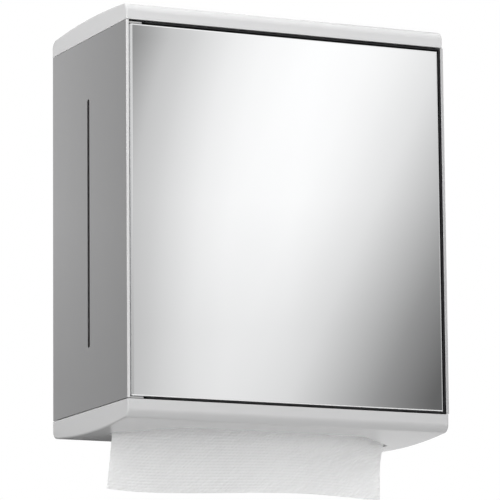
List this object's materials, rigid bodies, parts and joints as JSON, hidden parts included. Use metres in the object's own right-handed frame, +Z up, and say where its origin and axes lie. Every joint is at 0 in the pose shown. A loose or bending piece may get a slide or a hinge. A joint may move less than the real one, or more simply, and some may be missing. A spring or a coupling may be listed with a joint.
{
  "type": "paper towel dispenser",
  "caption": "Wall dispenser for folded paper towels with a bright door hinged on its left edge, satin side panels with a sight slot, pale end caps and a towel hanging from the exit below.",
  "frame": {"origin": "centre of the four wall screw holes, on the wall face of the back plate", "axes": "+X to the right as a user faces the dispenser, +Y into the wall, +Z up"},
  "size_m": [0.2865, 0.16, 0.3891],
  "materials": {
    "bright_door": "mirror polished",
    "satin_aluminium": "satin anodised",
    "pale_plastic": "fine matte",
    "black_plastic": "matte",
    "zinc_sheet": "zinc plated",
    "hinge_steel": "bright plated",
    "screw_steel": "zinc plated",
    "lock_chrome": "polished",
    "liner_paint": "satin paint",
    "block_plastic": "moulded",
    "bumper_rubber": "matte",
    "towel_paper": "embossed"
  },
  "bodies": {
    "housing": {"back_plate": "zinc_sheet", "left_side_panel": "satin_aluminium", "right_side_panel": "satin_aluminium", "top_cap": "pale_plastic", "bottom_cap": "pale_plastic", "front_frame": "black_plastic", "towel_tray": "zinc_sheet", "left_towel_guide": "zinc_sheet", "right_towel_guide": "zinc_sheet", "door_bumpers": "bumper_rubber", "side_panel_screws": "screw_steel", "guide_screws": "screw_steel", "top_cap_screws": "screw_steel", "bottom_cap_screws": "screw_steel", "upper_hinge_bracket": "hinge_steel", "lower_hinge_bracket": "hinge_steel", "upper_hinge_pin": "hinge_steel", "lower_hinge_pin": "hinge_steel", "hinge_bracket_screws": "screw_steel", "lock_body": "lock_chrome", "lock_nut": "screw_steel", "towel_stack": "towel_paper"},
    "door": {"door_panel": "bright_door", "door_liner": "liner_paint", "upper_hinge_block": "block_plastic", "lower_hinge_block": "block_plastic", "door_corner_blocks": "block_plastic", "latch_block": "block_plastic", "door_keeper": "zinc_sheet", "liner_screws": "screw_steel", "keeper_screws": "screw_steel"},
    "lock": {"lock_barrel": "lock_chrome", "lock_cam": "zinc_sheet", "cam_screw": "screw_steel"},
    "towel": {"hanging_towel": "towel_paper"}
  },
  "joints": [
    {"name": "door_swing", "type": "hinge", "parent": "housing", "child": "door", "pos_m": [-0.1364, -0.1569, 0], "axis": [0, 0, -1], "range_deg": [0, 95]},
    {"name": "lock_turn", "type": "hinge", "parent": "housing", "child": "lock", "pos_m": [0.14, -0.122, 0], "axis": [1, 0, 0], "range_deg": [0, 90]},
    {"name": "towel_pull", "type": "slide", "parent": "housing", "child": "towel", "axis": [0, 0, -1], "range_m": [0, 0.1]}
  ]
}
